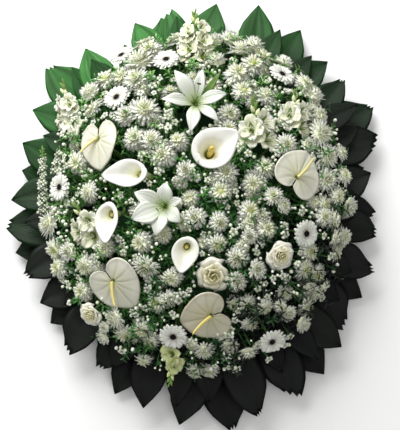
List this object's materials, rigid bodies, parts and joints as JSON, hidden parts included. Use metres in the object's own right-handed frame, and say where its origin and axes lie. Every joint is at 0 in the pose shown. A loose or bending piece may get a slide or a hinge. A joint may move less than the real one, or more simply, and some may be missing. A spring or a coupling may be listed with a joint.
{
  "type": "funeral wreath",
  "caption": "Full domed tribute of mixed white flowers on a foam pad and backing board, with a collar of broad dark green leaves and a wire hanging loop.",
  "frame": {"origin": "centre of the backing board's flat underside, which is the wreath's back and the face it rests on when laid down", "axes": "+Z out of the wreath's face, +Y towards its top when it stands on an easel or hangs, +X to its right as seen from the front"},
  "size_m": [1.0065, 1.1856, 0.3153],
  "materials": {
    "leaf": "waxy satin green leaf",
    "anthurium": "waxy gloss, ivory white spathe",
    "calla": "smooth satin, white spathe",
    "lily": "satin white petals, green throat",
    "gerbera": "matt white petals, dark eye",
    "rose": "velvety cream petals",
    "gladiolus": "soft cream florets",
    "stock": "matt greenish white florets",
    "chrysanthemum": "matt white petals, pale green centre",
    "waxflower": "small waxy white blooms on green sprigs",
    "wire": "green lacquered florist's wire",
    "plywood": "plain matt plywood",
    "foam": "open-celled wet floral foam, matt dark green"
  },
  "bodies": {
    "root": {"ti_leaf_fan_01": "leaf", "ti_leaf_fan_02": "leaf", "ti_leaf_fan_03": "leaf", "ti_leaf_fan_04": "leaf", "ti_leaf_fan_05": "leaf", "ti_leaf_fan_06": "leaf", "ti_leaf_fan_07": "leaf", "ti_leaf_fan_08": "leaf", "ti_leaf_fan_09": "leaf", "ti_leaf_fan_10": "leaf", "ti_leaf_fan_11": "leaf", "ti_leaf_fan_12": "leaf", "anthurium_1": "anthurium", "anthurium_2": "anthurium", "anthurium_3": "anthurium", "anthurium_4": "anthurium", "calla_lily_1": "calla", "calla_lily_2": "calla", "calla_lily_3": "calla", "calla_lily_4": "calla", "lily_1": "lily", "lily_2": "lily", "gerbera_1": "gerbera", "gerbera_2": "gerbera", "gerbera_3": "gerbera", "gerbera_4": "gerbera", "gerbera_5": "gerbera", "gerbera_6": "gerbera", "gerbera_7": "gerbera", "gerbera_8": "gerbera", "rose_1": "rose", "rose_2": "rose", "rose_3": "rose", "gladiolus_1": "gladiolus", "gladiolus_2": "gladiolus", "gladiolus_3": "gladiolus", "gladiolus_4": "gladiolus", "gladiolus_5": "gladiolus", "gladiolus_6": "gladiolus", "stock_spike_1": "stock", "stock_spike_2": "stock", "chrysanthemum_spray_01": "chrysanthemum", "chrysanthemum_spray_02": "chrysanthemum", "chrysanthemum_spray_03": "chrysanthemum", "chrysanthemum_spray_04": "chrysanthemum", "chrysanthemum_spray_05": "chrysanthemum", "chrysanthemum_spray_06": "chrysanthemum", "chrysanthemum_spray_07": "chrysanthemum", "chrysanthemum_spray_08": "chrysanthemum", "chrysanthemum_spray_09": "chrysanthemum", "chrysanthemum_spray_10": "chrysanthemum", "chrysanthemum_spray_11": "chrysanthemum", "chrysanthemum_spray_12": "chrysanthemum", "chrysanthemum_spray_13": "chrysanthemum", "chrysanthemum_spray_14": "chrysanthemum", "waxflower_sprig_1": "waxflower", "waxflower_sprig_2": "waxflower", "hanging_loop": "wire", "backing_board": "plywood", "floral_foam_pad": "foam"}
  },
  "joints": []
}
